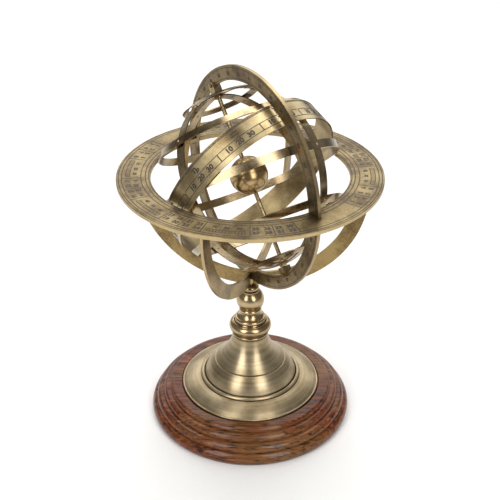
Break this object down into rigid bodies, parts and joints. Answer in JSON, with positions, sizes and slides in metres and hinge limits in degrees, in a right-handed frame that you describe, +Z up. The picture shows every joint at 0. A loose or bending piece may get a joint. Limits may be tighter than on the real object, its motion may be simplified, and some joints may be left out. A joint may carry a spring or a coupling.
{
  "type": "armillary sphere",
  "caption": "Demonstration armillary sphere: brass hoops turning about a tilted polar axis in a meridian ring, inside a horizon ring on a turned brass stem and round wooden base.",
  "frame": {"origin": "centre of the felt's underside, where the base rests", "axes": "+Z up; the meridian ring stands in the XZ plane with the north pole raised towards -X"},
  "size_m": [0.188, 0.188, 0.2799],
  "materials": {
    "felt": "green baize",
    "base_wood": "gloss lacquered rosewood",
    "steel": "plain",
    "turned_brass": "turned, fine circular brushing",
    "plate_brass": "antiqued, bright edges",
    "engraved_brass": "antiqued, engraved, dark in the lines",
    "hoop_brass": "satin",
    "zodiac_brass": "antiqued, engraved",
    "globe_brass": "polished",
    "fitting_brass": "satin"
  },
  "bodies": {
    "stand": {"base_felt": "felt", "wood_base": "base_wood", "tie_bolt": "steel", "tie_washer": "steel", "foot_bell": "turned_brass", "stem_knop": "turned_brass", "stem_neck": "turned_brass", "stem_ball": "turned_brass", "stem_fork": "turned_brass", "cradle_east": "plate_brass", "cradle_west": "plate_brass", "horizon_ring": "engraved_brass"},
    "meridian": {"meridian_ring": "engraved_brass", "pole_saddle_north": "fitting_brass", "pole_saddle_south": "fitting_brass", "saddle_screws": "fitting_brass"},
    "celestial_sphere": {"colure_solstitial": "hoop_brass", "colure_equinoctial": "hoop_brass", "equator_hoop": "hoop_brass", "tropic_cancer": "hoop_brass", "tropic_capricorn": "hoop_brass", "arctic_circle": "hoop_brass", "antarctic_circle": "hoop_brass", "zodiac_band": "zodiac_brass", "polar_rod": "fitting_brass", "earth_globe": "globe_brass", "hub_washers": "fitting_brass", "hub_nuts": "fitting_brass", "hoop_rivets": "fitting_brass", "zodiac_rivets": "fitting_brass"}
  },
  "joints": [
    {"name": "meridian_tilt", "type": "hinge", "parent": "stand", "child": "meridian", "pos_m": [0, 0, 0.19873], "axis": [0, 1, 0], "range_deg": [-40, 40]},
    {"name": "sphere_spin", "type": "hinge", "parent": "meridian", "child": "celestial_sphere", "pos_m": [0, 0, 0.19873], "axis": [-0.6428, 0, 0.766], "continuous": true}
  ]
}
